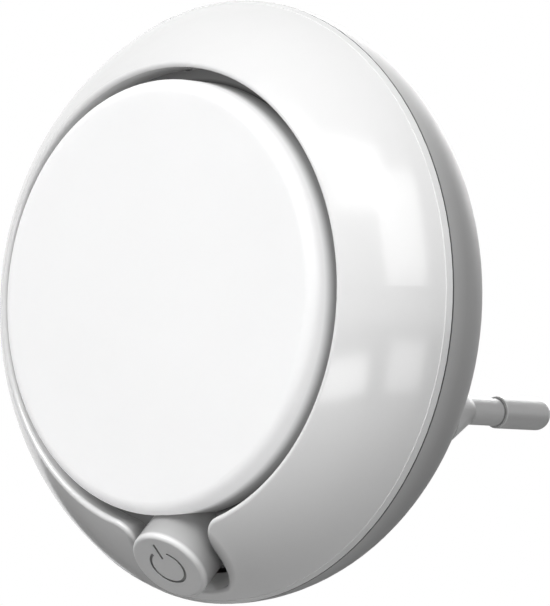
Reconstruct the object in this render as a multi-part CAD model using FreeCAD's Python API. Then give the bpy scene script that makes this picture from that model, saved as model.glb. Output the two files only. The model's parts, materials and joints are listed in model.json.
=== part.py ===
import FreeCAD, Part
import math
import os

# Plug-in night light, in millimetres.
# The pieces are laid out about the lamp's own axis. Y runs back towards the wall, Z is up, and the seam
# between the front shell and the rear cover lies at Y = 0. They are written out about the point midway
# between the two plug pins, in the plane that meets the face of the socket.

# Front shell
SEAM_RADIUS = 36.3
RING_WIDTH = 8.86
LIP_AHEAD = 10.85
FRONT_BULGE = 0.89
LIP_ROUND = 0.45
WALL = 2.0
LEDGE_AHEAD = 6.6
BAND_WIDTH = 0.76
BAND_DROP = 0.35
BAND_STEP = 0.07
RIM_WALL = 1.8
REBATE_DEPTH = 1.6

# Notch for the button
NOTCH_HALF_WIDTH = 5.75
NOTCH_CORNER = 3.6
NOTCH_END_HEIGHT = 4.05
NOTCH_FLOOR_AHEAD = 2.6

# Rear cover and its plug boss
REAR_CROWN = 14.0
REAR_DEPTH = 10.5
REAR_ROUND = 4.0
SEAM_GAP = 0.15
SEAM_GAP_DEPTH = 0.9
TONGUE_WALL = 1.2
TONGUE_LENGTH = 1.5
INNER_CORNER = 3.5
BOSS_LENGTH = 14.0
BOSS_THICKNESS = 13.7
BOSS_WALL = 1.8
BOSS_END_WALL = 2.0
BOSS_EDGE_ROUND = 0.6

# Diffuser
DIFFUSER_PROUD = 1.47
DIFFUSER_WALL = 1.5
DIFFUSER_EDGE = 1.5
OPENING_GAP = 1.54
FLANGE_THICKNESS = 1.0
FLANGE_OVERLAP = 1.3

# Light tray
TRAY_THICKNESS = 1.4
GUIDE_WALL = 1.2
GUIDE_START = 6.6
GUIDE_END = 11.0
HOOD_START = 3.9
CHEEK_THICKNESS = 1.25
CHEEK_WIDTH = 6.0
TENON_WIDTH = 3.0

# Button
BUTTON_RADIUS = 5.0
BUTTON_INSET = 5.72
BUTTON_TILT = 43.5
BUTTON_PROUD = 2.1
BUTTON_EDGE = 0.5
BUTTON_WALL = 1.1
BUTTON_TOP = 1.4
BUTTON_TRAVEL = 1.2
COLLAR_WIDTH = 0.7
COLLAR_LENGTH = 0.8
SOCKET_RADIUS = 2.1
SOCKET_LENGTH = 8.0
SYMBOL_RADIUS = 2.35
SYMBOL_LINE = 0.36
SYMBOL_DEPTH = 0.25
SYMBOL_GAP_ANGLE = 54.0
BAR_START = 1.25
BAR_END = 3.65

# Switch
SWITCH_SIZE = 8.0
SWITCH_LENGTH = 5.5
SWITCH_WALL = 0.8
SWITCH_CHAMBER = 2.7
PLUNGER_RADIUS = 1.1
PLUNGER_SHOULDER = 2.3
PLUNGER_SHOULDER_LENGTH = 0.6
SPRING_RADIUS = 1.75
SPRING_WIRE = 0.35
SPRING_TURNS = 3
BRACKET_THICKNESS = 1.0
TERMINAL_SPACING = 5.0
TERMINAL_WIDTH = 1.2
TERMINAL_THICKNESS = 0.4
TERMINAL_LENGTH = 2.4

# Plug pins
PIN_SPACING = 18.6
PIN_RISE = 23.97
PIN_LENGTH = 19.0
SOCKET_FACE_BEHIND = 18.5
CONTACT_RADIUS = 2.0
CONTACT_LENGTH = 9.1
CONTACT_TIP_ROUND = 1.5
CONTACT_START_ROUND = 0.12
CORE_RADIUS = 1.3
SLEEVE_RADIUS = 1.7
CONE_LENGTH = 7.3
ROOT_RADIUS = 6.0
ROOT_COLLAR = 1.4
ROOT_EDGE_ROUND = 0.4
SPIGOT_RADIUS = 4.0
SPIGOT_REACH = 2.0
PIN_COLLAR_RADIUS = 3.0
PIN_COLLAR_LENGTH = 1.5
TAIL_RADIUS = 1.1
TAIL_LENGTH = 9.0
CLAMP_END_GAP = 1.15
CLAMP_SIDE_GAP = 0.75
CLAMP_THICKNESS = 2.0
CLAMP_POST_RADIUS = 2.6

# Screws
SCREW_RADIUS = 1.15
SCREW_HEAD_RADIUS = 2.1
SCREW_HEAD_LENGTH = 1.6
SCREW_BITE = 4.5
SCREW_COUNT = 3
SCREW_FIRST_ANGLE = 90.0
SCREW_INSET = 6.3
SCREW_HEAD_SUNK = 3.5
DRIVE_WIDTH = 0.6
DRIVE_DEPTH = 0.7
DRIVE_SHARE = 0.7
POST_RADIUS = 2.4
TOWER_RADIUS = 2.8
POST_MEETING = 1.0
SMALL_SCREW_RADIUS = 0.9
SMALL_HEAD_RADIUS = 1.7
SMALL_HEAD_LENGTH = 1.0
SMALL_BITE = 2.8

# Boards
LED_BOARD_INSET = 6.9
LED_BOARD_THICKNESS = 1.0
LED_SCREW_INSET = 3.8
LED_BOSS_RADIUS = 1.9
LED_BOSS_LENGTH = 3.2
LED_COUNT = 6
LED_FIRST_ANGLE = 90.0
LED_CIRCLE = 10.5
LED_WIDTH = 3.5
LED_HEIGHT = 2.8
LED_THICKNESS = 0.8
LED_WELL_RADIUS = 1.1
LED_WELL_DEPTH = 0.2
DRIVER_BOARD_RADIUS = 21.5
DRIVER_BOARD_THICKNESS = 1.6
DRIVER_BOARD_FRONT = 2.2
DRIVER_BOARD_RISE = 2.83
STANDOFF_CIRCLE = 17.8
STANDOFF_RADIUS = 2.1
STANDOFF_FIRST_ANGLE = 30.0
STANDOFF_STEP = 60.0
PILLAR_RADIUS = 1.8
PILLAR_GAP = 1.2
PILLAR_ANGLES = (40.0, 140.0, -12.0, 192.0)

# Parts on the driver board
UPPER_ROW = 8.5
FILM_SIZE = (13.0, 5.4, 8.0)
FILM_EDGE = 0.5
CAN_RADIUS = 2.7
CAN_LENGTH = 9.5
CAN_EDGE = 0.4
FUSE_RADIUS = 1.6
FUSE_LENGTH = 7.0
FUSE_INSET = 12.0
FUSE_HEIGHT = -1.0
FUSE_LEAD_RADIUS = 0.4
FUSE_LEAD_REACH = 2.2
RECTIFIER_SIZE = (6.6, 2.6, 5.0)
RECTIFIER_PLACE = (9.5, -1.5)
RESISTOR_SIZE = (3.2, 0.7, 1.7)
RESISTOR_PLACE = (-5.0, 3.0)
RESISTOR_STEP = 4.4
RESISTOR_COUNT = 3
LINK_SPACING = 2.54
LINK_WIDTH = 0.64
LINK_HEIGHT = -5.2
LINK_BLOCK_SIZE = (5.2, 2.5, 2.5)

# Leads
LEAD_RADIUS = 0.65
LEAD_SWING = 2.6
LEAD_RISE = 5.3
LEAD_ENTRY_SPACING = 10.0
LEAD_STRAIGHT = 1.2
LEAD_ARC_SHARE = 0.45

# Clearances
SEAT = 0.1
GAP = 0.3
BUTTON_GAP = 0.4
RUNNING = 0.08
HOLE_EASE = 0.03

# Sizes that follow from the ones above
OPENING_RADIUS = SEAM_RADIUS - RING_WIDTH
DIFFUSER_RADIUS = OPENING_RADIUS - OPENING_GAP
DIFFUSER_FRONT = LIP_AHEAD + DIFFUSER_PROUD
REBATE_RADIUS = SEAM_RADIUS - RIM_WALL
TONGUE_RADIUS = REBATE_RADIUS - SEAT
COVER_INNER_RADIUS = TONGUE_RADIUS - TONGUE_WALL
BACK_INNER = REAR_DEPTH - WALL
FLANGE_RADIUS = OPENING_RADIUS + FLANGE_OVERLAP
FLANGE_BACK = -LEDGE_AHEAD + FLANGE_THICKNESS
TRAY_BACK = FLANGE_BACK + TRAY_THICKNESS
SCREW_CIRCLE = SEAM_RADIUS - SCREW_INSET
LED_BOARD_RADIUS = DIFFUSER_RADIUS - LED_BOARD_INSET
LED_SCREW_REACH = LED_BOARD_RADIUS - LED_SCREW_INSET
PIN_DROP = SEAM_RADIUS - PIN_RISE
DRIVER_BOARD_BOTTOM = PIN_DROP - DRIVER_BOARD_RISE
PILLAR_CIRCLE = DRIVER_BOARD_RADIUS + PILLAR_GAP + PILLAR_RADIUS
DRIVER_BOARD_BACK = DRIVER_BOARD_FRONT + DRIVER_BOARD_THICKNESS
BOSS_END = REAR_DEPTH + BOSS_LENGTH
SOCKET_FACE = REAR_DEPTH + SOCKET_FACE_BEHIND
CONTACT_TIP = SOCKET_FACE + PIN_LENGTH
CONTACT_START = CONTACT_TIP - CONTACT_LENGTH
SPIGOT_END = BOSS_END - BOSS_END_WALL - SPIGOT_REACH
COLLAR_END = SPIGOT_END - PIN_COLLAR_LENGTH
CLAMP_END = COLLAR_END - CLAMP_THICKNESS
BOSS_WIDTH = PIN_SPACING + BOSS_THICKNESS
CLAMP_LENGTH = BOSS_WIDTH - 2 * (BOSS_WALL + CLAMP_END_GAP)
CLAMP_WIDTH = BOSS_THICKNESS - 2 * (BOSS_WALL + CLAMP_SIDE_GAP)
BORE_RADIUS = BUTTON_RADIUS + RUNNING
SWITCH_TOP = GUIDE_END + GAP + COLLAR_LENGTH + BUTTON_TRAVEL + 2 * GAP
SWITCH_END = SWITCH_TOP + SWITCH_LENGTH
CHEEK_INNER = BUTTON_RADIUS + COLLAR_WIDTH + GAP
CHEEK_OUTER = CHEEK_INNER + CHEEK_THICKNESS
CENTRE = FreeCAD.Vector(0, 0, 0)
BACKWARDS = FreeCAD.Vector(0, 1, 0)
SIDEWAYS = FreeCAD.Vector(1, 0, 0)
UPWARDS = FreeCAD.Vector(0, 0, 1)


def point(x, y, z=0.0):
    return FreeCAD.Vector(x, y, z)


def rod(radius, start, end, x=0.0, z=0.0):
    """A round rod along Y from start to end."""
    return Part.makeCylinder(radius, end - start, point(x, start, z), BACKWARDS)


def block(width, depth, height, x, front, z):
    """A box centred on x and z, whose front face is at Y = front."""
    return Part.makeBox(width, depth, height, point(x - width / 2, front, z - height / 2))


def on_circle(radius, degrees):
    """The X and Z of a point on a circle about the lamp's axis."""
    angle = math.radians(degrees)
    return radius * math.cos(angle), radius * math.sin(angle)


def turned(edges):
    """A solid turned about the Y axis from a closed outline drawn as (radius, Y)."""
    return Part.Face(Part.Wire(edges)).revolve(CENTRE, BACKWARDS, 360)


def lines(points):
    """Straight edges from each (radius, Y) point to the next."""
    ends = [point(*p) for p in points]
    return [Part.LineSegment(a, b).toShape() for a, b in zip(ends, ends[1:])]


def arc(start, middle, end):
    return Part.Arc(point(*start), point(*middle), point(*end)).toShape()


def along_button(shape):
    """Moves a shape drawn about Z, with its face at Z = 0, to the button's place in the shell."""
    turn = FreeCAD.Rotation(SIDEWAYS, BUTTON_TILT - 90)
    shape.Placement = FreeCAD.Placement(button_face_centre(), turn).multiply(shape.Placement)
    return shape


def front_arc():
    """The front shell's outline as a circle: its radius and its centre's radius and Y."""
    start = (SEAM_RADIUS - BAND_DROP, -BAND_WIDTH)
    end = (OPENING_RADIUS, -LIP_AHEAD)
    chord = math.dist(start, end)
    radius = (chord ** 2 / 4 + FRONT_BULGE ** 2) / (2 * FRONT_BULGE)
    outward = ((start[1] - end[1]) / chord, (end[0] - start[0]) / chord)
    inset = radius - FRONT_BULGE
    centre = ((start[0] + end[0]) / 2 - outward[0] * inset, (start[1] + end[1]) / 2 - outward[1] * inset)
    return radius, centre[0], centre[1]


def front_radius_at(y, inset=0.0):
    """The radius of the front shell's outline at Y = y, or of a wall inset from it."""
    radius, centre_radius, centre_y = front_arc()
    return centre_radius + math.sqrt((radius - inset) ** 2 - (y - centre_y) ** 2)


def front_y_at(radius_here):
    """The Y of the front shell's outline where its radius is radius_here."""
    radius, centre_radius, centre_y = front_arc()
    return centre_y - math.sqrt(radius ** 2 - (radius_here - centre_radius) ** 2)


def button_face_centre():
    """The centre of the button's face, which stands proud of the shell on the button's own axis."""
    tilt = math.radians(BUTTON_TILT)
    circle = SEAM_RADIUS - BUTTON_INSET
    ahead = BUTTON_PROUD * math.cos(tilt)
    below = BUTTON_PROUD * math.sin(tilt)
    return point(0, front_y_at(circle) - ahead, -circle - below)


def notch_centre():
    """The height at which the button's axis meets the shell."""
    return -(SEAM_RADIUS - BUTTON_INSET)


def front_blank():
    """The solid inside the front shell's outer outline."""
    radius_mid = front_radius_at(-LIP_AHEAD / 2)
    crown = SEAM_RADIUS - BAND_DROP
    edges = lines([(0, 0), (SEAM_RADIUS, 0), (crown + BAND_STEP, -BAND_WIDTH), (crown, -BAND_WIDTH)])
    edges.append(arc((crown, -BAND_WIDTH), (radius_mid, -LIP_AHEAD / 2), (OPENING_RADIUS, -LIP_AHEAD)))
    edges += lines([(OPENING_RADIUS, -LIP_AHEAD), (0, -LIP_AHEAD), (0, 0)])
    return turned(edges)


def front_hollow():
    """The space inside the front shell, behind its ledge."""
    inner_ledge = front_radius_at(-LEDGE_AHEAD, WALL)
    inner_rebate = front_radius_at(-REBATE_DEPTH, WALL)
    middle = (LEDGE_AHEAD + REBATE_DEPTH) / 2
    edges = lines([(0, -LEDGE_AHEAD), (inner_ledge, -LEDGE_AHEAD)])
    edges.append(arc((inner_ledge, -LEDGE_AHEAD), (front_radius_at(-middle, WALL), -middle),
                     (inner_rebate, -REBATE_DEPTH)))
    edges += lines([(inner_rebate, -REBATE_DEPTH), (REBATE_RADIUS, -REBATE_DEPTH), (REBATE_RADIUS, 0),
                    (0, 0), (0, -LEDGE_AHEAD)])
    return turned(edges)


def opening_outline():
    """The round opening and the button's notch as one smooth closed wire, drawn in X and Y."""
    corner_x = NOTCH_HALF_WIDTH + NOTCH_CORNER
    reach = OPENING_RADIUS + NOTCH_CORNER
    corner_y = -math.sqrt(reach ** 2 - corner_x ** 2)
    share = OPENING_RADIUS / reach
    meeting = (corner_x * share, corner_y * share)
    swing = math.atan2(meeting[1] - corner_y, meeting[0] - corner_x)
    middle_angle = (swing + math.pi) / 2
    bend = (corner_x + NOTCH_CORNER * math.cos(middle_angle),
            corner_y + NOTCH_CORNER * math.sin(middle_angle))
    end_y = notch_centre()
    tip = NOTCH_HALF_WIDTH
    ring = arc((-meeting[0], meeting[1]), (0, OPENING_RADIUS), meeting)
    right = arc(meeting, bend, (tip, corner_y))
    left = arc((-tip, corner_y), (-bend[0], bend[1]), (-meeting[0], meeting[1]))
    sides = lines([(tip, corner_y), (tip, end_y)]) + lines([(-tip, end_y), (-tip, corner_y)])
    oval = Part.Ellipse(point(0, end_y), NOTCH_HALF_WIDTH, NOTCH_END_HEIGHT)
    end = Part.ArcOfEllipse(oval, math.pi, 2 * math.pi).toShape()
    return Part.Wire([ring, right, sides[0], end, sides[1], left])


def facing_front(shape):
    """Turns a shape drawn in X and Y so that it is drawn in X and Z and rises towards the front."""
    shape.rotate(CENTRE, SIDEWAYS, 90)
    return shape


def opening_cutter():
    """What the opening and its notch take out of the shell, down to the notch's floor."""
    plan = Part.Face(opening_outline())
    deep = plan.extrude(point(0, 0, LIP_AHEAD - NOTCH_FLOOR_AHEAD + WALL))
    deep.translate(point(0, 0, NOTCH_FLOOR_AHEAD))
    return facing_front(deep)


def lip_edges(shell):
    """The shell's outer edges along the opening and the notch."""
    outline = facing_front(opening_outline())
    radius, centre_radius, centre_y = front_arc()
    found = []
    for edge in shell.Edges:
        middle = edge.valueAt((edge.FirstParameter + edge.LastParameter) / 2)
        across = math.hypot(middle.x, middle.z)
        off_skin = abs(math.hypot(across - centre_radius, middle.y - centre_y) - radius)
        flat = Part.Vertex(middle.x, 0, middle.z)
        if off_skin < HOLE_EASE and outline.distToShape(flat)[0] < HOLE_EASE:
            found.append(edge)
    return found


def screw_places():
    return [on_circle(SCREW_CIRCLE, SCREW_FIRST_ANGLE + 360 / SCREW_COUNT * i) for i in range(SCREW_COUNT)]


def front_shell():
    blank = front_blank()
    shell = blank.cut(front_hollow()).cut(opening_cutter())
    shell = shell.makeFillet(LIP_ROUND, lip_edges(shell))
    shell = shell.cut(button_clearance(BUTTON_RADIUS + BUTTON_GAP))
    inside = front_blank_inner()
    for x, z in screw_places():
        head = rod(POST_RADIUS, -LIP_AHEAD, POST_MEETING, x, z).common(inside)
        foot = rod(POST_RADIUS, -REBATE_DEPTH, POST_MEETING, x, z)
        shell = shell.fuse(head.fuse(foot))
    for x, z in screw_places():
        shell = shell.cut(rod(SCREW_RADIUS + HOLE_EASE, POST_MEETING - SCREW_BITE, POST_MEETING, x, z))
    return shell.removeSplitter()


def front_blank_inner():
    """The front hollow grown halfway into the shell's wall, which trims the posts to the shell."""
    inset = WALL / 2
    ledge = LEDGE_AHEAD + inset
    inner_ledge = front_radius_at(-ledge, inset)
    inner_back = front_radius_at(-REBATE_DEPTH, inset)
    middle = (ledge + REBATE_DEPTH) / 2
    edges = lines([(OPENING_RADIUS, -ledge), (inner_ledge, -ledge)])
    edges.append(arc((inner_ledge, -ledge), (front_radius_at(-middle, inset), -middle),
                     (inner_back, -REBATE_DEPTH)))
    edges += lines([(inner_back, -REBATE_DEPTH), (OPENING_RADIUS, -REBATE_DEPTH), (OPENING_RADIUS, -ledge)])
    return turned(edges)


def button_clearance(radius, start=-LIP_AHEAD, end=GUIDE_END):
    """A rod on the button's axis, from start to end below its face."""
    return along_button(Part.makeCylinder(radius, end - start, point(0, 0, start)))


def stadium(length, width, start, end, height):
    """A prism along Y with round ends, centred on X = 0 at the given height."""
    radius = width / 2
    half = length / 2 - radius
    solid = rod(radius, start, end, half, height).fuse(rod(radius, start, end, -half, height))
    return solid.fuse(block(2 * half, end - start, width, 0, start, height)).removeSplitter()


def rear_outline():
    """The rear cover's outside, from the seam to the middle of its flat back."""
    crown_centre = SEAM_RADIUS - REAR_CROWN
    round_y = REAR_DEPTH - REAR_ROUND
    reach = REAR_CROWN - REAR_ROUND
    round_radius = crown_centre + math.sqrt(reach ** 2 - round_y ** 2)
    lean = math.asin(round_y / reach)
    meeting = (crown_centre + REAR_CROWN * math.cos(lean), REAR_CROWN * math.sin(lean))
    start_lean = math.asin(SEAM_GAP / REAR_CROWN)
    start = (crown_centre + REAR_CROWN * math.cos(start_lean), SEAM_GAP)
    half = (lean + start_lean) / 2
    crown_middle = (crown_centre + REAR_CROWN * math.cos(half), REAR_CROWN * math.sin(half))
    turn = (lean + math.pi / 2) / 2
    round_middle = (round_radius + REAR_ROUND * math.cos(turn), round_y + REAR_ROUND * math.sin(turn))
    back = (round_radius, REAR_DEPTH)
    return start, [arc(start, crown_middle, meeting), arc(meeting, round_middle, back)], back


def rear_skin():
    """The cover's turned wall, its flat back and the tongue that enters the front shell."""
    start, skin, back = rear_outline()
    inner = COVER_INNER_RADIUS
    corner = INNER_CORNER * math.sin(math.radians(45))
    bend = (inner - INNER_CORNER + corner, BACK_INNER - INNER_CORNER + corner)
    edges = skin + lines([back, (0, REAR_DEPTH), (0, BACK_INNER), (inner - INNER_CORNER, BACK_INNER)])
    edges.append(arc((inner - INNER_CORNER, BACK_INNER), bend, (inner, BACK_INNER - INNER_CORNER)))
    edges += lines([(inner, BACK_INNER - INNER_CORNER), (inner, -TONGUE_LENGTH),
                    (TONGUE_RADIUS, -TONGUE_LENGTH), (TONGUE_RADIUS, 0), (SEAM_RADIUS - SEAM_GAP_DEPTH, 0),
                    (SEAM_RADIUS - SEAM_GAP_DEPTH, SEAM_GAP), start])
    return turned(edges)


def plug_boss():
    """The flat boss behind the cover that enters the socket's recess."""
    boss = stadium(BOSS_WIDTH, BOSS_THICKNESS, BACK_INNER, BOSS_END, -PIN_DROP)
    rim = [e for e in boss.Edges if e.BoundBox.YMin > BOSS_END - HOLE_EASE]
    return boss.makeFillet(BOSS_EDGE_ROUND, rim)


def boss_hollow():
    inner = 2 * BOSS_WALL
    end = BOSS_END - BOSS_END_WALL
    return stadium(BOSS_WIDTH - inner, BOSS_THICKNESS - inner, -TONGUE_LENGTH, end, -PIN_DROP)


def rear_cover():
    cover = rear_skin().fuse(plug_boss()).cut(boss_hollow())
    screw_floor = REAR_DEPTH - SCREW_HEAD_SUNK
    for x, z in screw_places():
        cover = cover.fuse(rod(TOWER_RADIUS, POST_MEETING, BACK_INNER + WALL / 2, x, z))
    for x, z in pillar_places():
        cover = cover.fuse(rod(PILLAR_RADIUS, TRAY_BACK, BACK_INNER + WALL / 2, x, z))
    for x, z in standoff_places():
        cover = cover.fuse(rod(STANDOFF_RADIUS, DRIVER_BOARD_BACK, BACK_INNER + WALL / 2, x, z))
    cover = cover.fuse(rod(CLAMP_POST_RADIUS, COLLAR_END, BOSS_END - BOSS_END_WALL / 2, 0, -PIN_DROP))
    for x, z in screw_places():
        cover = cover.cut(rod(SCREW_RADIUS + SEAT, POST_MEETING, REAR_DEPTH, x, z))
        cover = cover.cut(rod(SCREW_HEAD_RADIUS + SEAT, screw_floor, REAR_DEPTH + WALL, x, z))
    for x, z in standoff_places():
        bite_end = DRIVER_BOARD_BACK + SMALL_BITE
        cover = cover.cut(rod(SMALL_SCREW_RADIUS + HOLE_EASE, DRIVER_BOARD_BACK, bite_end, x, z))
    cover = cover.cut(rod(SMALL_SCREW_RADIUS + HOLE_EASE, COLLAR_END, COLLAR_END + SMALL_BITE, 0, -PIN_DROP))
    for side in (-1, 1):
        hole = rod(SPIGOT_RADIUS + HOLE_EASE, BACK_INNER, BOSS_END, side * PIN_SPACING / 2, -PIN_DROP)
        cover = cover.cut(hole)
    return cover.removeSplitter()


def pillar_places():
    return [on_circle(PILLAR_CIRCLE, angle) for angle in PILLAR_ANGLES]


def standoff_places():
    return [on_circle(STANDOFF_CIRCLE, STANDOFF_FIRST_ANGLE + STANDOFF_STEP * i) for i in range(3)]


def diffuser():
    """The opal cap: a flat face, a rounded edge, a skirt and the flange that the shell's ledge holds."""
    inner = DIFFUSER_RADIUS - DIFFUSER_WALL
    front = -DIFFUSER_FRONT
    lean = DIFFUSER_EDGE * math.sin(math.radians(45))
    edge_centre = (DIFFUSER_RADIUS - DIFFUSER_EDGE, front + DIFFUSER_EDGE)
    bend = (edge_centre[0] + lean, edge_centre[1] - lean)
    edges = lines([(0, front), (edge_centre[0], front)])
    edges.append(arc((edge_centre[0], front), bend, (DIFFUSER_RADIUS, edge_centre[1])))
    edges += lines([(DIFFUSER_RADIUS, edge_centre[1]), (DIFFUSER_RADIUS, -LEDGE_AHEAD),
                    (FLANGE_RADIUS, -LEDGE_AHEAD), (FLANGE_RADIUS, FLANGE_BACK), (inner, FLANGE_BACK),
                    (inner, front + DIFFUSER_WALL), (0, front + DIFFUSER_WALL), (0, front)])
    cap = turned(edges).cut(button_clearance(BUTTON_RADIUS + BUTTON_GAP))
    for x, z in screw_places():
        cap = cap.cut(rod(POST_RADIUS + GAP, -LIP_AHEAD, FLANGE_BACK, x, z))
    return cap.removeSplitter()


def guide_blank():
    """The tube that guides the button, with a hood that runs on beneath the diffuser."""
    outer = GUIDE_WALL + BORE_RADIUS
    tube = button_clearance(outer, GUIDE_START, GUIDE_END)
    hood = button_clearance(outer, HOOD_START, GUIDE_START)
    inside = DIFFUSER_RADIUS - DIFFUSER_WALL - GAP
    cavity = rod(inside, -DIFFUSER_FRONT + DIFFUSER_WALL + GAP, FLANGE_BACK)
    behind = rod(SEAM_RADIUS, FLANGE_BACK, REAR_DEPTH)
    return tube.common(cavity).fuse(tube.common(behind)).fuse(hood.common(cavity))


def cheeks():
    """The two arms that carry the switch behind the button, each with a tenon through the bracket."""
    arms = []
    for side in (-1, 1):
        middle = side * (CHEEK_INNER + CHEEK_OUTER) / 2
        arm = Part.makeBox(CHEEK_THICKNESS, CHEEK_WIDTH, SWITCH_END - GUIDE_START)
        arm.translate(point(middle - CHEEK_THICKNESS / 2, -CHEEK_WIDTH / 2, GUIDE_START))
        tenon = Part.makeBox(CHEEK_THICKNESS / 2, TENON_WIDTH, BRACKET_THICKNESS)
        tenon.translate(point(middle - CHEEK_THICKNESS / 4, -TENON_WIDTH / 2, SWITCH_END))
        arms.append(along_button(arm.fuse(tenon)))
    return arms


def light_tray():
    """The white plate behind the diffuser, with the button's guide, the switch's arms and screw bosses."""
    tray = rod(FLANGE_RADIUS, FLANGE_BACK, TRAY_BACK).fuse(guide_blank())
    for arm in cheeks():
        tray = tray.fuse(arm.common(rod(SEAM_RADIUS, FLANGE_BACK, REAR_DEPTH)))
    for side in (-1, 1):
        boss_end = FLANGE_BACK + LED_BOSS_LENGTH
        tray = tray.fuse(rod(LED_BOSS_RADIUS, FLANGE_BACK, boss_end, side * LED_SCREW_REACH))
    tray = tray.cut(button_clearance(BORE_RADIUS, -SWITCH_TOP, GUIDE_END))
    tray = tray.cut(button_clearance(CHEEK_INNER, GUIDE_END, SWITCH_TOP))
    for side in (-1, 1):
        bite_end = FLANGE_BACK + LED_BOSS_LENGTH - LED_WELL_DEPTH
        tray = tray.cut(rod(SMALL_SCREW_RADIUS + HOLE_EASE, FLANGE_BACK, bite_end, side * LED_SCREW_REACH))
    for x, z in screw_places():
        tray = tray.cut(rod(POST_RADIUS + GAP, FLANGE_BACK, TRAY_BACK, x, z))
    window = block(LINK_BLOCK_SIZE[0], TRAY_THICKNESS, LINK_BLOCK_SIZE[2], 0, FLANGE_BACK, LINK_HEIGHT)
    return tray.cut(window).removeSplitter()


def ring_symbol():
    """The cutter for the power symbol: a broken ring and a bar through its gap."""
    half = SYMBOL_LINE / 2
    sweep = 360 - SYMBOL_GAP_ANGLE
    outer = Part.makeCylinder(SYMBOL_RADIUS + half, SYMBOL_DEPTH, CENTRE, UPWARDS, sweep)
    ring = outer.cut(Part.makeCylinder(SYMBOL_RADIUS - half, SYMBOL_DEPTH))
    ring.rotate(CENTRE, UPWARDS, SYMBOL_GAP_ANGLE / 2 - 90)
    bar = Part.makeBox(SYMBOL_LINE, BAR_END - BAR_START, SYMBOL_DEPTH, point(-half, -BAR_END, 0))
    return ring, bar


def power_button():
    """The round push button: a cap with a skirt, a retaining collar and a socket for the plunger."""
    button = Part.makeCylinder(BUTTON_RADIUS, GUIDE_END + GAP + COLLAR_LENGTH)
    rim = [e for e in button.Edges if e.BoundBox.ZMax < HOLE_EASE]
    button = button.makeFillet(BUTTON_EDGE, rim)
    collar = Part.makeCylinder(BUTTON_RADIUS + COLLAR_WIDTH, COLLAR_LENGTH, point(0, 0, GUIDE_END + GAP))
    hollow_length = GUIDE_END + GAP + COLLAR_LENGTH - BUTTON_TOP
    hollow = Part.makeCylinder(BUTTON_RADIUS - BUTTON_WALL, hollow_length, point(0, 0, BUTTON_TOP))
    socket = Part.makeCylinder(SOCKET_RADIUS, SOCKET_LENGTH - BUTTON_TOP, point(0, 0, BUTTON_TOP))
    bore = Part.makeCylinder(PLUNGER_RADIUS + HOLE_EASE, SOCKET_LENGTH, point(0, 0, BUTTON_TOP + WALL))
    button = button.fuse(collar).cut(hollow).fuse(socket).cut(bore)
    for cutter in ring_symbol():
        button = button.cut(cutter)
    return along_button(button.removeSplitter())


def switch_body():
    body = Part.makeBox(SWITCH_SIZE, SWITCH_SIZE, SWITCH_LENGTH)
    body.translate(point(-SWITCH_SIZE / 2, -SWITCH_SIZE / 2, SWITCH_TOP))
    corners = [e for e in body.Edges if e.BoundBox.ZLength > SWITCH_LENGTH - HOLE_EASE]
    body = body.makeFillet(SWITCH_WALL, corners)
    chamber_length = SWITCH_LENGTH - 2 * SWITCH_WALL
    chamber = Part.makeCylinder(SWITCH_CHAMBER, chamber_length, point(0, 0, SWITCH_TOP + SWITCH_WALL))
    mouth = Part.makeCylinder(PLUNGER_RADIUS + RUNNING, SWITCH_WALL, point(0, 0, SWITCH_TOP))
    return along_button(body.cut(chamber).cut(mouth))


def switch_plunger():
    start = BUTTON_TOP + WALL
    shoulder_start = SWITCH_TOP + SWITCH_WALL + SEAT
    rod_length = shoulder_start - start + PLUNGER_SHOULDER_LENGTH
    plunger = Part.makeCylinder(PLUNGER_RADIUS, rod_length, point(0, 0, start))
    shoulder = Part.makeCylinder(PLUNGER_SHOULDER, PLUNGER_SHOULDER_LENGTH, point(0, 0, shoulder_start))
    return along_button(plunger.fuse(shoulder).removeSplitter())


def spring_point(quarter, height):
    """A point of the spring's middle line, after so many quarter turns."""
    angle = math.pi / 2 * quarter
    return point(SPRING_RADIUS * math.cos(angle), SPRING_RADIUS * math.sin(angle), height)


def switch_spring():
    """The return spring: one unbroken wire wound in quarter turns, between the shoulder and the floor."""
    start = SWITCH_TOP + SWITCH_WALL + SEAT + PLUNGER_SHOULDER_LENGTH + SPRING_WIRE
    end = SWITCH_END - SWITCH_WALL - SPRING_WIRE
    quarters = 4 * SPRING_TURNS
    rise = (end - start) / quarters
    edges = []
    for i in range(quarters):
        stops = [i, i + 0.5, i + 1]
        edges.append(Part.Arc(*[spring_point(stop, start + rise * stop) for stop in stops]).toShape())
    path = Part.Wire(edges)
    first = path.Edges[0]
    section = Part.Wire(Part.makeCircle(SPRING_WIRE / 2, first.Vertexes[0].Point, first.tangentAt(0)))
    wire = path.makePipeShell([section], True, False)
    print("spring pitch less wire", round(4 * rise - SPRING_WIRE, 3))
    return along_button(wire)


def switch_bracket():
    """The plate behind the switch, held on the tray's two tenons."""
    width = 2 * CHEEK_OUTER
    corner = point(-width / 2, -CHEEK_WIDTH / 2, SWITCH_END)
    plate = Part.makeBox(width, CHEEK_WIDTH, BRACKET_THICKNESS, corner)
    for side in (-1, 1):
        middle = side * (CHEEK_INNER + CHEEK_OUTER) / 2
        slot_width = CHEEK_THICKNESS / 2 + 2 * HOLE_EASE
        slot_length = TENON_WIDTH + 2 * HOLE_EASE
        corner = point(middle - slot_width / 2, -slot_length / 2, SWITCH_END)
        plate = plate.cut(Part.makeBox(slot_width, slot_length, BRACKET_THICKNESS, corner))
        width_of_hole = TERMINAL_WIDTH + 2 * SEAT
        depth_of_hole = TERMINAL_THICKNESS + 2 * SEAT
        corner = point(side * TERMINAL_SPACING / 2 - width_of_hole / 2, -depth_of_hole / 2, SWITCH_END)
        plate = plate.cut(Part.makeBox(width_of_hole, depth_of_hole, BRACKET_THICKNESS, corner))
    return along_button(plate)


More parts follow.
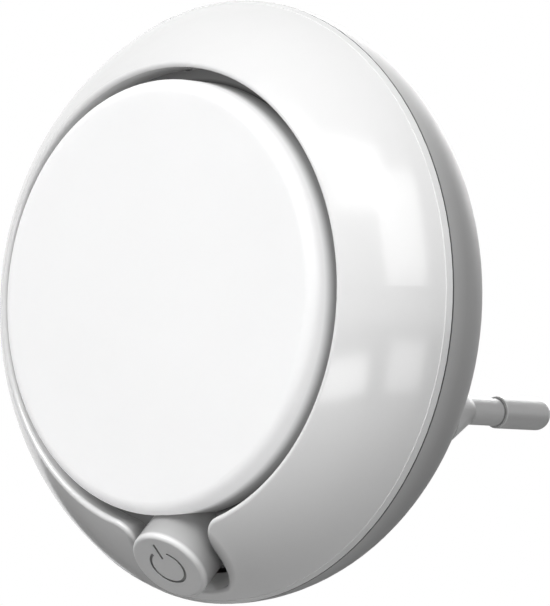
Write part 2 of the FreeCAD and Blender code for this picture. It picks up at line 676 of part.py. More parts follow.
def switch_terminals():
    tabs = []
    for side in (-1, 1):
        corner = point(side * TERMINAL_SPACING / 2 - TERMINAL_WIDTH / 2, -TERMINAL_THICKNESS / 2, SWITCH_END)
        tabs.append(along_button(Part.makeBox(TERMINAL_WIDTH, TERMINAL_THICKNESS, TERMINAL_LENGTH, corner)))
    return tabs


def contact_pin(side):
    """A plug pin: a thick round contact, a thin core inside the sleeve, a collar and a tail."""
    x = side * PIN_SPACING / 2
    contact = rod(CONTACT_RADIUS, CONTACT_START, CONTACT_TIP)
    tip = [e for e in contact.Edges if e.BoundBox.YMin > CONTACT_TIP - HOLE_EASE]
    contact = contact.makeFillet(CONTACT_TIP_ROUND, tip)
    base = [e for e in contact.Edges if e.BoundBox.YMax < CONTACT_START + HOLE_EASE]
    contact = contact.makeFillet(CONTACT_START_ROUND, base)
    core = rod(CORE_RADIUS, SPIGOT_END, CONTACT_START)
    collar = rod(PIN_COLLAR_RADIUS, COLLAR_END, SPIGOT_END)
    tail = rod(TAIL_RADIUS, COLLAR_END - TAIL_LENGTH, COLLAR_END)
    pin = contact.fuse(core).fuse(collar).fuse(tail).removeSplitter()
    pin.translate(point(x, 0, -PIN_DROP))
    return pin


def pin_sleeve(side):
    """The insulating sleeve on a pin's core, with its conical root and the spigot in the boss."""
    cone_start = BOSS_END + ROOT_COLLAR
    cone_end = cone_start + CONE_LENGTH
    edge = ROOT_EDGE_ROUND
    bore = CORE_RADIUS + HOLE_EASE
    edges = lines([(bore, SPIGOT_END), (SPIGOT_RADIUS, SPIGOT_END), (SPIGOT_RADIUS, BOSS_END),
                   (ROOT_RADIUS, BOSS_END), (ROOT_RADIUS, cone_start - edge),
                   (ROOT_RADIUS - edge, cone_start), (SLEEVE_RADIUS, cone_end),
                   (SLEEVE_RADIUS, CONTACT_START), (bore, CONTACT_START), (bore, SPIGOT_END)])
    sleeve = turned(edges)
    sleeve.translate(point(side * PIN_SPACING / 2, 0, -PIN_DROP))
    return sleeve


def pin_clamp_plate():
    """The bar across the inside of the boss that holds both pins' collars."""
    plate = stadium(CLAMP_LENGTH, CLAMP_WIDTH, CLAMP_END, COLLAR_END, -PIN_DROP)
    for side in (-1, 1):
        plate = plate.cut(rod(TAIL_RADIUS + SEAT, CLAMP_END, COLLAR_END, side * PIN_SPACING / 2, -PIN_DROP))
    return plate.cut(rod(SMALL_SCREW_RADIUS + SEAT, CLAMP_END, COLLAR_END, 0, -PIN_DROP))


def screw(radius, head_radius, head_length, head_front, shank_end, x, z):
    """A round-headed screw whose head lies at head_front and whose shank ends at shank_end."""
    forwards = shank_end < head_front
    head = rod(head_radius, head_front, head_front + head_length)
    start = shank_end if forwards else head_front
    end = head_front if forwards else shank_end
    shape = head.fuse(rod(radius, start, end)).removeSplitter()
    top = head_front + head_length - DRIVE_DEPTH if forwards else head_front
    reach = 2 * head_radius * DRIVE_SHARE
    for width, height in ((reach, DRIVE_WIDTH), (DRIVE_WIDTH, reach)):
        shape = shape.cut(block(width, DRIVE_DEPTH, height, 0, top, 0))
    shape.translate(point(x, 0, z))
    return shape


def cover_screws():
    head_front = REAR_DEPTH - SCREW_HEAD_SUNK
    tip = POST_MEETING - SCREW_BITE + SEAT
    return [screw(SCREW_RADIUS, SCREW_HEAD_RADIUS, SCREW_HEAD_LENGTH, head_front, tip, x, z)
            for x, z in screw_places()]


def small_screw(seat, bite, x, z):
    """A small screw driven from the front, with its head against Y = seat."""
    return screw(SMALL_SCREW_RADIUS, SMALL_HEAD_RADIUS, SMALL_HEAD_LENGTH, seat - SMALL_HEAD_LENGTH,
                 seat + bite - SEAT, x, z)


def led_board():
    front = FLANGE_BACK - LED_BOARD_THICKNESS
    board = rod(LED_BOARD_RADIUS, front, FLANGE_BACK)
    for side in (-1, 1):
        board = board.cut(rod(SMALL_SCREW_RADIUS + SEAT, front, FLANGE_BACK, side * LED_SCREW_REACH))
    for pin in link_pins():
        centre = pin.CenterOfMass
        board = board.cut(block(LINK_WIDTH, LED_BOARD_THICKNESS, LINK_WIDTH, centre.x, front, centre.z))
    return board


def led(angle):
    """One lamp chip: a low case with a round well in its face."""
    x, z = on_circle(LED_CIRCLE, angle)
    front = FLANGE_BACK - LED_BOARD_THICKNESS - LED_THICKNESS
    case = block(LED_WIDTH, LED_THICKNESS, LED_HEIGHT, x, front, z)
    return case.cut(rod(LED_WELL_RADIUS, front, front + LED_WELL_DEPTH, x, z))


def leds():
    return [led(LED_FIRST_ANGLE + 360 / LED_COUNT * i) for i in range(LED_COUNT)]


def driver_board():
    board = rod(DRIVER_BOARD_RADIUS, DRIVER_BOARD_FRONT, DRIVER_BOARD_BACK)
    below = block(2 * DRIVER_BOARD_RADIUS, DRIVER_BOARD_THICKNESS, DRIVER_BOARD_RADIUS, 0,
                  DRIVER_BOARD_FRONT, -DRIVER_BOARD_BOTTOM - DRIVER_BOARD_RADIUS / 2)
    board = board.cut(below)
    for x, z in standoff_places():
        board = board.cut(rod(SMALL_SCREW_RADIUS + SEAT, DRIVER_BOARD_FRONT, DRIVER_BOARD_BACK, x, z))
    for pin in link_pins():
        centre = pin.CenterOfMass
        board = board.cut(block(LINK_WIDTH, DRIVER_BOARD_THICKNESS, LINK_WIDTH, centre.x,
                                DRIVER_BOARD_FRONT, centre.z))
    return board


def link_pins():
    """The two pins that join the boards."""
    front = FLANGE_BACK - LED_BOARD_THICKNESS
    length = DRIVER_BOARD_BACK - front
    return [block(LINK_WIDTH, length, LINK_WIDTH, side * LINK_SPACING / 2, front, LINK_HEIGHT)
            for side in (-1, 1)]


def link_block():
    width, depth, height = LINK_BLOCK_SIZE
    shape = block(width, depth, height, 0, DRIVER_BOARD_FRONT - depth, LINK_HEIGHT)
    for pin in link_pins():
        shape = shape.cut(pin)
    return shape


def upper_row_reach():
    """How far from the middle the board's upper row may reach, between its two outer screws' heads."""
    x, _ = standoff_places()[0]
    return x - SMALL_HEAD_RADIUS - GAP


def film_capacitor():
    width, depth, height = FILM_SIZE
    x = width / 2 - upper_row_reach()
    case = block(width, depth, height, x, DRIVER_BOARD_FRONT - depth, UPPER_ROW)
    front_edges = [e for e in case.Edges if e.BoundBox.YMax < DRIVER_BOARD_FRONT - HOLE_EASE]
    return case.makeFillet(FILM_EDGE, front_edges)


def electrolytic_capacitor():
    """The can, lying on the front of the driver board."""
    start = point(upper_row_reach() - CAN_LENGTH, DRIVER_BOARD_FRONT - CAN_RADIUS, UPPER_ROW)
    can = Part.makeCylinder(CAN_RADIUS, CAN_LENGTH, start, SIDEWAYS)
    ends = [e for e in can.Edges if e.BoundBox.XLength < HOLE_EASE]
    return can.makeFillet(CAN_EDGE, ends)


def fuse_resistor():
    """The fusible resistor: a round body and the two leads that bend down to the board."""
    x = FUSE_INSET - DRIVER_BOARD_RADIUS
    z = FUSE_HEIGHT
    y = DRIVER_BOARD_FRONT - FUSE_RADIUS - GAP
    body = Part.makeCylinder(FUSE_RADIUS, FUSE_LENGTH, point(x - FUSE_LENGTH / 2, y, z), SIDEWAYS)
    body = body.makeFillet(FUSE_RADIUS / 2, [e for e in body.Edges if e.BoundBox.XLength < HOLE_EASE])
    for side in (-1, 1):
        end = x + side * (FUSE_LENGTH / 2 + FUSE_LEAD_REACH)
        start = x + side * FUSE_LENGTH / 4
        route = [point(start, y, z), point(end, y, z), point(end, DRIVER_BOARD_FRONT, z)]
        body = body.fuse(tube(route, FUSE_LEAD_RADIUS))
    return body.removeSplitter()


def bridge_rectifier():
    width, depth, height = RECTIFIER_SIZE
    x, z = RECTIFIER_PLACE
    return block(width, depth, height, x, DRIVER_BOARD_FRONT - depth, z)


def resistors():
    width, depth, height = RESISTOR_SIZE
    x, z = RESISTOR_PLACE
    return [block(width, depth, height, x + RESISTOR_STEP * i, DRIVER_BOARD_FRONT - depth, z)
            for i in range(RESISTOR_COUNT)]


def rounded_path(points):
    """Straight runs joined by tangent arcs, each as large as its two runs allow."""
    edges = []
    last = points[0]
    for before, corner, after in zip(points, points[1:], points[2:]):
        back = (before - corner).normalize()
        ahead = (after - corner).normalize()
        trim = LEAD_ARC_SHARE * min((before - corner).Length, (after - corner).Length)
        half_turn = (math.pi - back.getAngle(ahead)) / 2
        radius = trim / math.tan(half_turn)
        start = corner + back * trim
        end = corner + ahead * trim
        bisector = (back + ahead).normalize()
        middle = corner + bisector * (radius / math.cos(half_turn) - radius)
        edges.append(Part.LineSegment(last, start).toShape())
        edges.append(Part.Arc(start, middle, end).toShape())
        last = end
    edges.append(Part.LineSegment(last, points[-1]).toShape())
    return Part.Wire(edges)


def tube(points, radius):
    """A round wire along a route."""
    path = rounded_path(points)
    section = Part.Wire(Part.makeCircle(radius, points[0], points[1] - points[0]))
    return path.makePipeShell([section], True, False)


def pin_lead(side):
    """The insulated lead from a pin's tail up to the driver board."""
    x = side * PIN_SPACING / 2
    tail = COLLAR_END - TAIL_LENGTH
    top = -DRIVER_BOARD_BOTTOM + LEAD_RISE / 2
    route = [point(x, tail, -PIN_DROP), point(x, tail - LEAD_SWING, -PIN_DROP),
             point(x, DRIVER_BOARD_BACK + LEAD_SWING, top), point(x, DRIVER_BOARD_BACK, top)]
    return tube(route, LEAD_RADIUS)


def switch_lead(side):
    """The lead from a switch terminal up to the driver board."""
    frame = along_button(Part.Vertex(side * TERMINAL_SPACING / 2, 0, SWITCH_END + TERMINAL_LENGTH))
    start = frame.BoundBox.Center
    tilt = math.radians(BUTTON_TILT)
    inward = point(0, math.cos(tilt), math.sin(tilt))
    x = side * LEAD_ENTRY_SPACING / 2
    top = -DRIVER_BOARD_BOTTOM + LEAD_RADIUS + GAP
    return tube([start, start + inward * LEAD_STRAIGHT, point(x, DRIVER_BOARD_BACK + LEAD_SWING, top),
                 point(x, DRIVER_BOARD_BACK, top)], LEAD_RADIUS / 2)


def led_board_screws():
    seat = FLANGE_BACK - LED_BOARD_THICKNESS
    bite = LED_BOARD_THICKNESS + LED_BOSS_LENGTH - LED_WELL_DEPTH
    return [small_screw(seat, bite, side * LED_SCREW_REACH, 0) for side in (-1, 1)]


def driver_board_screws():
    bite = DRIVER_BOARD_THICKNESS + SMALL_BITE
    return [small_screw(DRIVER_BOARD_FRONT, bite, x, z) for x, z in standoff_places()]


def pieces():
    """Every named piece, each with its solids."""
    made = {
        "front_shell": [front_shell()],
        "rear_cover": [rear_cover()],
        "diffuser": [diffuser()],
        "light_tray": [light_tray()],
        "power_button": [power_button()],
        "switch_body": [switch_body()],
        "switch_plunger": [switch_plunger()],
        "switch_spring": [switch_spring()],
        "switch_bracket": [switch_bracket()],
        "switch_terminals": switch_terminals(),
        "pin_clamp_plate": [pin_clamp_plate()],
        "pin_clamp_screw": [small_screw(CLAMP_END, CLAMP_THICKNESS + SMALL_BITE, 0, -PIN_DROP)],
        "cover_screws": cover_screws(),
        "led_board": [led_board()],
        "leds": leds(),
        "led_board_screws": led_board_screws(),
        "driver_board": [driver_board()],
        "driver_board_screws": driver_board_screws(),
        "link_pins": link_pins(),
        "link_block": [link_block()],
        "film_capacitor": [film_capacitor()],
        "electrolytic_capacitor": [electrolytic_capacitor()],
        "fuse_resistor": [fuse_resistor()],
        "bridge_rectifier": [bridge_rectifier()],
        "resistors": resistors(),
    }
    for side, name in ((-1, "left"), (1, "right")):
        made["contact_pin_" + name] = [contact_pin(side)]
        made["pin_sleeve_" + name] = [pin_sleeve(side)]
        made["pin_lead_" + name] = [pin_lead(side)]
        made["switch_lead_" + name] = [switch_lead(side)]
    return made


def main():
    os.makedirs("parts", exist_ok=True)
    to_pins = point(0, -SOCKET_FACE, PIN_DROP)
    for name, solids in pieces().items():
        shape = solids[0] if len(solids) == 1 else Part.makeCompound(solids)
        shape.translate(to_pins)
        sound = shape.isValid() and all(s.isClosed() for s in shape.Shells)
        print(name, len(shape.Solids), round(shape.Volume, 1), "sound" if sound else "NOT SOUND")
        shape.exportStep("parts/" + name + ".step")


main()
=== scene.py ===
import json
import math

import bpy
from mathutils import Matrix, Vector


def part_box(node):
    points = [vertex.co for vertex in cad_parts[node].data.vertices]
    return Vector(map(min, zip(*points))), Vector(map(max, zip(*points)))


# Plug-in night light. All sizes are in metres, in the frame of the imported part.
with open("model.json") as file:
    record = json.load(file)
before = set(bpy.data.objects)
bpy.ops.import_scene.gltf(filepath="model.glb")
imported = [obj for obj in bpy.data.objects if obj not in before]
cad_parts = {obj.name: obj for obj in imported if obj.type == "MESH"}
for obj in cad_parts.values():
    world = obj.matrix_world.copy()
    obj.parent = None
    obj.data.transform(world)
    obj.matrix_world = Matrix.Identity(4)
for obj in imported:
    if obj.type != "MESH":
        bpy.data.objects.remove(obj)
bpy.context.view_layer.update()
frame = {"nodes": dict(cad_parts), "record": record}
MM = 0.001


def greys(*stops):
    """Ramp stops in grey, from (place, level) pairs."""
    return [(place, (level, level, level)) for place, level in stops]


# The night light's own axis and seam
SEAM_Y = -29.0 * MM
AXIS_Z = 12.33 * MM
MIDDLE = Vector((0, SEAM_Y, AXIS_Z))

# Camera
IMAGE_HEIGHT = 606
SENSOR = 36.0
FOCAL_PIXELS = 5023.8
AZIMUTH = math.radians(43.218)
ELEVATION = math.radians(-3.857)
DISTANCE = 603.96 * MM
SIDE_OFFSET = 5.951 * MM
UP_OFFSET = -0.177 * MM
NEAR_CLIP = 10.0 * MM

# Floor: what is seen of it, and what it throws back as light
FLOOR_Z = -500.0 * MM
FLOOR_SIZE = 6.0
FLOOR_PATCH = 4.0
FLOOR_PALE = (0.80, 0.80, 0.80)
FLOOR_PALER = (0.84, 0.84, 0.84)
FLOOR_BOUNCE = (0.15, 0.15, 0.15)
FLOOR_LIFT = 0.15
FLOOR_ROUGHNESS = 0.7

# Lamps, with their directions in degrees, and the light of the sky
LAMP_DISTANCE = 0.9
LAMPS = {
    "key": dict(azimuth=0, elevation=40, width=0.4, height=0.4, power=6.5),
    "key_right": dict(azimuth=45, elevation=40, width=0.4, height=0.4, power=1.25),
    "fill_left": dict(azimuth=-45, elevation=12, width=0.4, height=0.4, power=0.1),
    "fill_below": dict(azimuth=35, elevation=-24, width=0.4, height=0.2, power=1.0),
    "fill_behind": dict(azimuth=-158, elevation=25, width=0.5, height=0.5, power=4.5),
    "window_upper": dict(azimuth=67, elevation=24, width=0.36, height=0.60, power=1.9),
    "window_lower": dict(azimuth=70, elevation=-22, width=0.30, height=0.26, power=0.65),
}
SKY_TONES = greys((0.0, 0.05), (0.5, 0.04), (1.0, 0.04))
WHITE = (1, 1, 1, 1)

# Noise: its scale per metre, its detail, and the part of its range that most of it lies in
PATCH = 120.0
PATCH_DETAIL = 3.0
GRAIN = 2500.0
SOFT_DETAIL = 2.0
NOISE_LOW = 0.3
NOISE_HIGH = 0.7

# What most finishes share
TONE_SPREAD = 0.03
GRAIN_BUMP = 0.02
GRAIN_RISE = 0.02 * MM
WEAR = 0.05
PLAIN_SPECULAR = 0.5
COAT_ROUGHNESS = 0.12

# The diffuser's own depth, how light soaks into it, and its painted shade from the face back to the
# flange
DIFFUSER_FRONT_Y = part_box("diffuser")[0][1]
DIFFUSER_BACK_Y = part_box("diffuser")[1][1]
OPAL_SHARE = 0.6
OPAL_RADII = (1.0, 1.0, 1.0)
OPAL_SOAK = 2.5 * MM
OPAL_GLOW = 0.60
OPAL_CLOUD = 60.0
OPAL_FAINT = 0.985
OPAL_GLOSS = (0.34, 0.42)
OPAL_WHITE = (0.60, 0.60, 0.602)
SKIRT_PAINTED_SHADE = [(0.0, OPAL_WHITE), (0.28, OPAL_WHITE)] + greys((0.52, 0.20), (0.80, 0.09))

# Painted shade from just inside the diffuser's skirt out to the flange's edge, by distance from the
# axis: dark next to the skirt
FLANGE_REACH = (25.0 * MM, 27.5 * MM)
FLANGE_PAINTED_SHADE = greys((0.0, 1.0), (0.365, 1.0), (0.375, 0.12), (0.56, 1.0))

# The button's face and inward axis, the length of side that shows, and its painted shade down the side
# and in the engraved symbol
BUTTON_FACE = (0, -38.816 * MM, -19.696 * MM)
BUTTON_AXIS = (0, 0.725374, 0.688355)
BUTTON_SIDE = 4.0 * MM
BUTTON_CLOUD = 300.0
BUTTON_FAINT = 0.98
BUTTON_GLOSS = (0.28, 0.36)
SIDE_PAINTED_SHADE = greys((0.0, 0.84), (0.12, 0.80), (0.22, 0.46), (0.9, 0.32))
SYMBOL_DEEP = 0.03 * MM
SYMBOL_REACH = 3.5 * MM
SYMBOL_PAINTED_SHADE = (0.30, 0.30, 0.30, 1)

# The front shell's painted shade by distance from the button's axis, darkest in the notch round the
# button
NOTCH_REACH = (5.2 * MM, 7.6 * MM)
NOTCH_PAINTED_SHADE = greys((0.0, 0.32), (0.45, 0.45), (1.0, 1.0))

# The rear cover's tones: the seam's dark line, and painted shade from the seam back to the pins' roots,
# darker on the sides
SEAM_REACH = 1.0 * MM
SEAM_TONES = greys((0.0, 0.2), (0.16, 0.2), (0.30, 1.0))
COVER_PAINTED_SHADE = greys((0.0, 0.82), (0.10, 0.70), (0.38, 0.72), (0.5, 1.0))

# The sleeves' painted shade: a dark line just before the contacts' step
SLEEVE_LINE = (9.5 * MM, 9.9 * MM)
SLEEVE_PAINTED_SHADE = greys((0.0, 1.0), (0.4, 0.3), (1.0, 0.3))


def axes_of_view():
    """The camera's right, up and backward directions."""
    back = Vector((math.sin(AZIMUTH) * math.cos(ELEVATION), -math.cos(AZIMUTH) * math.cos(ELEVATION),
                   math.sin(ELEVATION)))
    right = Vector((math.cos(AZIMUTH), math.sin(AZIMUTH), 0))
    return right, back.cross(right), back


def make_camera():
    right, up, back = axes_of_view()
    data = bpy.data.cameras.new("camera")
    data.sensor_width = SENSOR
    data.lens = FOCAL_PIXELS * SENSOR / IMAGE_HEIGHT
    data.clip_start = NEAR_CLIP
    camera = bpy.data.objects.new("camera", data)
    bpy.context.collection.objects.link(camera)
    turn = Matrix((right, up, back)).transposed().to_4x4()
    place = MIDDLE + right * SIDE_OFFSET + up * UP_OFFSET + back * DISTANCE
    camera.matrix_world = Matrix.Translation(place) @ turn
    bpy.context.scene.camera = camera


class Nodes:
    """A short way to add shader nodes and join them."""

    def __init__(self, tree):
        self.tree = tree
        self.tree.nodes.clear()

    def add(self, kind, **settings):
        node = self.tree.nodes.new(kind)
        for name, value in settings.items():
            setattr(node, name, value)
        return node

    def join(self, source, target):
        self.tree.links.new(source, target)


def new_material(name):
    """A material, its nodes, its Principled shader and the place on the object."""
    material = bpy.data.materials.new(name)
    material.use_nodes = True
    nodes = Nodes(material.node_tree)
    out = nodes.add("ShaderNodeOutputMaterial")
    shader = nodes.add("ShaderNodeBsdfPrincipled")
    nodes.join(shader.outputs["BSDF"], out.inputs["Surface"])
    place = nodes.add("ShaderNodeTexCoord").outputs["Object"]
    return material, nodes, shader, place


def ramp(nodes, source, stops):
    """The colour of a ramp fed by source, with (place, colour) stops."""
    node = nodes.add("ShaderNodeValToRGB")
    band = node.color_ramp
    while len(band.elements) < len(stops):
        band.elements.new(1.0)
    for element, (place, colour) in zip(band.elements, stops):
        element.position = place
        element.color = (*colour, 1)
    nodes.join(source, node.inputs["Fac"])
    return node.outputs["Color"]


def noise(nodes, place, scale, detail=SOFT_DETAIL):
    node = nodes.add("ShaderNodeTexNoise")
    node.inputs["Scale"].default_value = scale
    node.inputs["Detail"].default_value = detail
    nodes.join(place, node.inputs["Vector"])
    return node.outputs["Fac"]


def two_tones(nodes, source, low, high):
    """A colour between low and high, from a noise."""
    return ramp(nodes, source, [(NOISE_LOW, low), (NOISE_HIGH, high)])


def faint_cloud(nodes, source, level):
    """White, with patches that are as dark as level."""
    return ramp(nodes, source, greys((NOISE_LOW, level), (NOISE_HIGH, 1.0)))


def multiply(nodes, tone, other):
    """Two colours multiplied."""
    mix = nodes.add("ShaderNodeMix", data_type="RGBA", blend_type="MULTIPLY")
    mix.inputs["Factor"].default_value = 1.0
    nodes.join(tone, mix.inputs["A"])
    nodes.join(other, mix.inputs["B"])
    return mix.outputs["Result"]


def span(nodes, value, start, end):
    """0 to 1 as a value goes from start to end."""
    node = nodes.add("ShaderNodeMapRange")
    node.inputs["From Min"].default_value = start
    node.inputs["From Max"].default_value = end
    nodes.join(value, node.inputs["Value"])
    return node.outputs["Result"]


def vary_gloss(nodes, source, shader, low, high):
    """Roughness that goes from low to high with a noise."""
    node = nodes.add("ShaderNodeMapRange")
    node.inputs["To Min"].default_value = low
    node.inputs["To Max"].default_value = high
    nodes.join(source, node.inputs["Value"])
    nodes.join(node.outputs["Result"], shader.inputs["Roughness"])


def calculate(nodes, operation, first, second):
    """A sum on two values; the second is a number or another node's value."""
    node = nodes.add("ShaderNodeMath", operation=operation)
    nodes.join(first, node.inputs[0])
    if isinstance(second, float):
        node.inputs[1].default_value = second
    else:
        nodes.join(second, node.inputs[1])
    return node.outputs["Value"]


def with_vector(nodes, operation, place, vector):
    """A vector sum on a place and a fixed vector."""
    node = nodes.add("ShaderNodeVectorMath", operation=operation)
    nodes.join(place, node.inputs[0])
    node.inputs[1].default_value = vector
    return node


def along_wall(nodes, place, start, end, stops):
    """Tones that change along Y, from the side seen in front towards the wall."""
    split = nodes.add("ShaderNodeSeparateXYZ")
    nodes.join(place, split.inputs["Vector"])
    return ramp(nodes, span(nodes, split.outputs["Y"], start, end), stops)


def from_button(nodes, place):
    """The depth below the button's face along its axis, and the distance from that axis."""
    from_face = with_vector(nodes, "SUBTRACT", place, BUTTON_FACE).outputs["Vector"]
    depth = with_vector(nodes, "DOT_PRODUCT", from_face, BUTTON_AXIS)
    along = with_vector(nodes, "PROJECT", from_face, BUTTON_AXIS)
    across = nodes.add("ShaderNodeVectorMath", operation="DISTANCE")
    nodes.join(from_face, across.inputs[0])
    nodes.join(along.outputs["Vector"], across.inputs[1])
    return depth.outputs["Value"], across.outputs["Value"]


def cover_shade(nodes, place):
    """A dark line where the rear cover meets the front shell, and painted shade that makes the sides
    darker than the pin roots.
    """
    line = along_wall(nodes, place, SEAM_Y, SEAM_Y + SEAM_REACH, SEAM_TONES)
    return multiply(nodes, line, along_wall(nodes, place, SEAM_Y, 0, COVER_PAINTED_SHADE))


def sleeve_shade(nodes, place):
    """Painted shade: a dark line where a sleeve meets its contact's step."""
    return along_wall(nodes, place, *SLEEVE_LINE, SLEEVE_PAINTED_SHADE)


def notch_shade(nodes, place):
    """Painted shade close round the button."""
    across = from_button(nodes, place)[1]
    return ramp(nodes, span(nodes, across, *NOTCH_REACH), NOTCH_PAINTED_SHADE)


def flange_shade(nodes, place):
    """Painted shade on the diffuser's flange close to its skirt, and clear elsewhere."""
    split = nodes.add("ShaderNodeSeparateXYZ")
    nodes.join(place, split.inputs["Vector"])
    flat = nodes.add("ShaderNodeCombineXYZ")
    nodes.join(split.outputs["X"], flat.inputs["X"])
    nodes.join(split.outputs["Z"], flat.inputs["Z"])
    reach = with_vector(nodes, "DISTANCE", flat.outputs["Vector"], (0, 0, AXIS_Z))
    return ramp(nodes, span(nodes, reach.outputs["Value"], *FLANGE_REACH), FLANGE_PAINTED_SHADE)


def surface(name, colour, roughness, spread=TONE_SPREAD, bump=GRAIN_BUMP, metallic=0.0, coat=0.0,
            specular=PLAIN_SPECULAR, shade=None):
    """Moulded or metal finish: slight variation in tone and gloss, a fine bump, and painted shade
    multiplied in where shade is given.
    """
    material, nodes, shader, place = new_material(name)
    patches = noise(nodes, place, PATCH, PATCH_DETAIL)
    low = [level * (1 - spread) for level in colour]
    high = [level * (1 + spread) for level in colour]
    tone = two_tones(nodes, patches, low, high)
    if shade:
        # Painted shade, where the finish has one
        tone = multiply(nodes, tone, shade(nodes, place))
    nodes.join(tone, shader.inputs["Base Color"])
    vary_gloss(nodes, patches, shader, roughness - WEAR, roughness + WEAR)
    relief = nodes.add("ShaderNodeBump")
    relief.inputs["Strength"].default_value = bump
    relief.inputs["Distance"].default_value = GRAIN_RISE
    nodes.join(noise(nodes, place, GRAIN), relief.inputs["Height"])
    nodes.join(relief.outputs["Normal"], shader.inputs["Normal"])
    shader.inputs["Metallic"].default_value = metallic
    shader.inputs["Coat Weight"].default_value = coat
    shader.inputs["Coat Roughness"].default_value = COAT_ROUGHNESS
    shader.inputs["Specular IOR Level"].default_value = specular
    return material


def opal(name):
    """The diffuser: light soaks into it, it glows faintly, its skirt has painted shade that darkens into
    the groove, and its flange has painted shade next to the skirt.
    """
    material, nodes, shader, place = new_material(name)
    cloud = noise(nodes, place, OPAL_CLOUD)
    # Painted shade: the skirt darkens from the face back into the groove
    tone = along_wall(nodes, place, DIFFUSER_FRONT_Y, DIFFUSER_BACK_Y, SKIRT_PAINTED_SHADE)
    tone = multiply(nodes, tone, faint_cloud(nodes, cloud, OPAL_FAINT))
    # Painted shade on the flange next to the skirt
    tone = multiply(nodes, tone, flange_shade(nodes, place))
    nodes.join(tone, shader.inputs["Base Color"])
    nodes.join(tone, shader.inputs["Emission Color"])
    shader.inputs["Emission Strength"].default_value = OPAL_GLOW
    vary_gloss(nodes, cloud, shader, *OPAL_GLOSS)
    shader.inputs["Subsurface Weight"].default_value = OPAL_SHARE
    shader.inputs["Subsurface Radius"].default_value = OPAL_RADII
    shader.inputs["Subsurface Scale"].default_value = OPAL_SOAK
    return material


def button(name):
    """The button: pale face and rim, with painted shade down its side and in the engraved symbol."""
    material, nodes, shader, place = new_material(name)
    cloud = noise(nodes, place, BUTTON_CLOUD)
    depth, across = from_button(nodes, place)
    # Painted shade down the button's side
    side = ramp(nodes, span(nodes, depth, 0, BUTTON_SIDE), SIDE_PAINTED_SHADE)
    # Painted shade in the engraved symbol's grooves
    deep = calculate(nodes, "GREATER_THAN", depth, SYMBOL_DEEP)
    inside = calculate(nodes, "LESS_THAN", across, SYMBOL_REACH)
    mix = nodes.add("ShaderNodeMix", data_type="RGBA")
    nodes.join(calculate(nodes, "MULTIPLY", deep, inside), mix.inputs["Factor"])
    nodes.join(multiply(nodes, side, faint_cloud(nodes, cloud, BUTTON_FAINT)), mix.inputs["A"])
    mix.inputs["B"].default_value = SYMBOL_PAINTED_SHADE
    nodes.join(mix.outputs["Result"], shader.inputs["Base Color"])
    vary_gloss(nodes, cloud, shader, *BUTTON_GLOSS)
    return material


def background_rays(nodes):
    """1 for the rays that see the background: the camera's, a mirror's and a glass's."""
    path = nodes.add("ShaderNodeLightPath")
    seen = path.outputs["Is Camera Ray"]
    for name in ("Is Glossy Ray", "Is Transmission Ray"):
        seen = calculate(nodes, "MAXIMUM", seen, path.outputs[name])
    return seen


def make_world():
    """White where the background is looked at, and a dim, nearly even sky for its light."""
    world = bpy.data.worlds.new("studio")
    bpy.context.scene.world = world
    world.use_nodes = True
    nodes = Nodes(world.node_tree)
    out = nodes.add("ShaderNodeOutputWorld")
    seen = nodes.add("ShaderNodeBackground")
    seen.inputs["Color"].default_value = WHITE
    light = nodes.add("ShaderNodeBackground")
    place = nodes.add("ShaderNodeTexCoord")
    split = nodes.add("ShaderNodeSeparateXYZ")
    nodes.join(place.outputs["Generated"], split.inputs["Vector"])
    sky = ramp(nodes, span(nodes, split.outputs["Z"], -1, 1), SKY_TONES)
    nodes.join(sky, light.inputs["Color"])
    mix = nodes.add("ShaderNodeMixShader")
    nodes.join(background_rays(nodes), mix.inputs["Fac"])
    nodes.join(light.outputs["Background"], mix.inputs[1])
    nodes.join(seen.outputs["Background"], mix.inputs[2])
    nodes.join(mix.outputs["Shader"], out.inputs["Surface"])


def direction(azimuth, elevation):
    """The way to a lamp, in degrees round from the front to the right, and up."""
    around, up = math.radians(azimuth), math.radians(elevation)
    return Vector((math.sin(around) * math.cos(up), -math.cos(around) * math.cos(up), math.sin(up)))


def area_light(name, azimuth, elevation, width, height, power):
    """A soft box that faces the night light from LAMP_DISTANCE away."""
    data = bpy.data.lights.new(name, "AREA")
    data.shape = "RECTANGLE"
    data.size = width
    data.size_y = height
    data.energy = power
    away = direction(azimuth, elevation)
    turn = away.to_track_quat("Z", "Y").to_matrix().to_4x4()
    lamp = bpy.data.objects.new(name, data)
    lamp.matrix_world = Matrix.Translation(MIDDLE + away * LAMP_DISTANCE) @ turn
    bpy.context.collection.objects.link(lamp)


def make_lights():
    for name, settings in LAMPS.items():
        area_light(name, **settings)


def floor_finish():
    """Pale where the floor is looked at, and darker in the light that it throws up."""
    material, nodes, shader, place = new_material("floor_finish")
    pale = two_tones(nodes, noise(nodes, place, FLOOR_PATCH), FLOOR_PALE, FLOOR_PALER)
    seen = background_rays(nodes)
    mix = nodes.add("ShaderNodeMix", data_type="RGBA")
    nodes.join(seen, mix.inputs["Factor"])
    mix.inputs["A"].default_value = (*FLOOR_BOUNCE, 1)
    nodes.join(pale, mix.inputs["B"])
    nodes.join(mix.outputs["Result"], shader.inputs["Base Color"])
    shader.inputs["Roughness"].default_value = FLOOR_ROUGHNESS
    nodes.join(pale, shader.inputs["Emission Color"])
    nodes.join(calculate(nodes, "MULTIPLY", seen, FLOOR_LIFT), shader.inputs["Emission Strength"])
    return material


def make_floor():
    """A plain pale floor below the night light."""
    half = FLOOR_SIZE / 2
    corners = [(x, y, FLOOR_Z) for x, y in ((-half, -half), (half, -half), (half, half), (-half, half))]
    mesh = bpy.data.meshes.new("floor")
    mesh.from_pydata(corners, [], [(0, 1, 2, 3)])
    floor = bpy.data.objects.new("floor", mesh)
    bpy.context.collection.objects.link(floor)
    mesh.materials.append(floor_finish())


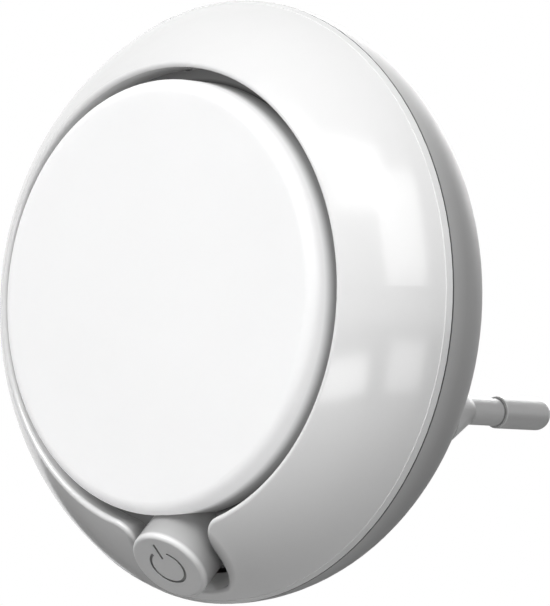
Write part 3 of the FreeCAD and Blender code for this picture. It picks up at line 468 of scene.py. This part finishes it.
# The finish of each material slot; the rear cover has its own, rear_white
FINISHES = {
    "shell_white": dict(colour=(0.80, 0.80, 0.80), roughness=0.22, spread=0.006, specular=0.45, coat=0.7,
                        bump=0.01, shade=notch_shade),
    "rear_white": dict(colour=(0.76, 0.76, 0.76), roughness=0.45, spread=0.01, specular=0.1,
                       shade=cover_shade),
    "tray_white": dict(colour=(0.72, 0.72, 0.71), roughness=0.5),
    "switch_black": dict(colour=(0.03, 0.03, 0.033), roughness=0.45),
    "switch_plunger": dict(colour=(0.68, 0.66, 0.60), roughness=0.4),
    "spring_steel": dict(colour=(0.60, 0.60, 0.60), roughness=0.3, metallic=1.0),
    "tinned": dict(colour=(0.72, 0.72, 0.70), roughness=0.35, metallic=1.0),
    "pin_metal": dict(colour=(0.52, 0.52, 0.52), roughness=0.42, metallic=0.25),
    "sleeve_plastic": dict(colour=(0.62, 0.62, 0.62), roughness=0.4, shade=sleeve_shade),
    "lead_blue": dict(colour=(0.03, 0.12, 0.45), roughness=0.45),
    "lead_brown": dict(colour=(0.16, 0.06, 0.03), roughness=0.45),
    "lead_white": dict(colour=(0.75, 0.75, 0.73), roughness=0.45),
    "screw_steel": dict(colour=(0.55, 0.55, 0.56), roughness=0.3, metallic=1.0),
    "board_white": dict(colour=(0.80, 0.81, 0.80), roughness=0.35),
    "led_yellow": dict(colour=(0.85, 0.68, 0.15), roughness=0.3),
    "board_green": dict(colour=(0.02, 0.16, 0.06), roughness=0.3),
    "film_yellow": dict(colour=(0.70, 0.52, 0.06), roughness=0.3),
    "can_black": dict(colour=(0.02, 0.02, 0.03), roughness=0.3),
    "fuse_grey": dict(colour=(0.30, 0.38, 0.36), roughness=0.6),
}


def dress(node, material):
    """Gives a CAD node its finish."""
    for slot in frame["nodes"][node].material_slots:
        slot.material = material


def make_finishes():
    made = {slot: surface(slot + "_finish", **settings) for slot, settings in FINISHES.items()}
    made["opal"] = opal("opal_finish")
    made["button_white"] = button("button_white_finish")
    for part in frame["record"]["subparts"]:
        dress(part["node"], made[part["material_slot"]])
    dress("rear_cover", made["rear_white"])


bpy.context.scene.view_settings.view_transform = "Standard"
make_camera()
make_world()
make_lights()
make_floor()
make_finishes()
